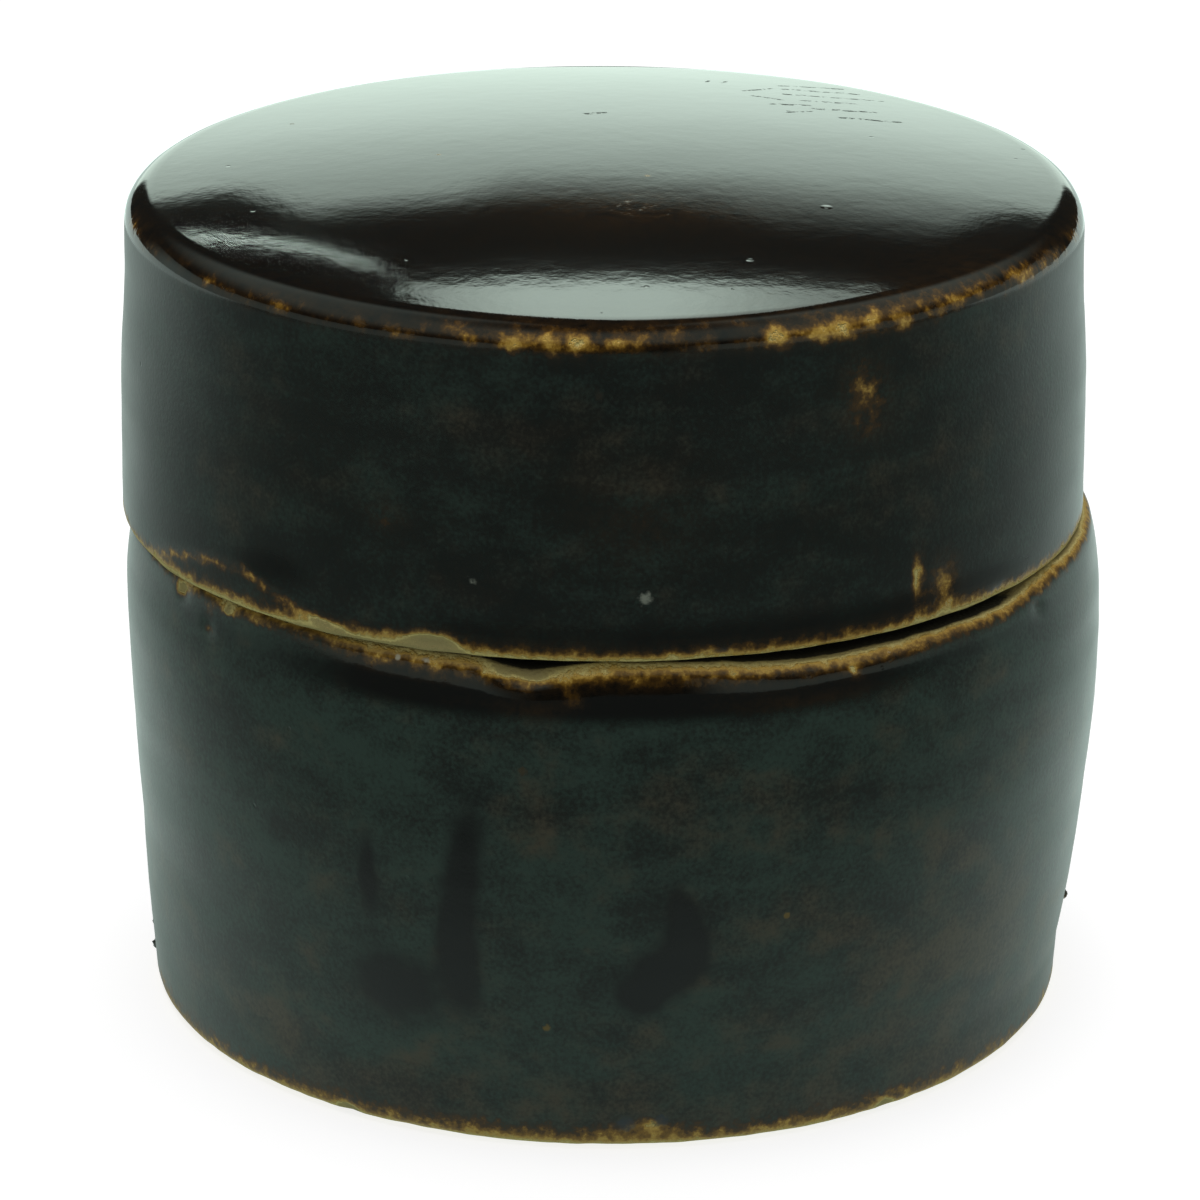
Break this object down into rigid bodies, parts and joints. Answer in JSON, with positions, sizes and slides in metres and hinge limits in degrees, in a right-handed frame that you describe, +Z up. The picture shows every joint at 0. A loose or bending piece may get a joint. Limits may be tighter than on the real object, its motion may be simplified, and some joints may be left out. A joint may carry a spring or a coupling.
{
  "type": "covered ink pot",
  "caption": "Squat round stoneware ink pot with a deep lift-off lid over a locating collar, dark brown glaze, and a soft ink wad in its bowl.",
  "frame": {"origin": "centre of the foot, on the surface the pot stands on", "axes": "+Z up along the pot's axis of revolution; -Y faces the viewer and the lid sits slipped a little towards -X"},
  "size_m": [0.0688, 0.0688, 0.0599],
  "materials": {
    "pot_glaze": "gloss",
    "lid_glaze": "gloss",
    "inked_silk": "satin"
  },
  "bodies": {
    "base": {"pot": "pot_glaze", "ink_wad": "inked_silk"},
    "cover": {"lid": "lid_glaze"}
  },
  "joints": [
    {"name": "lid_lift", "type": "slide", "parent": "base", "child": "cover", "axis": [0, 0, 1], "range_m": [0, 0.05]}
  ]
}
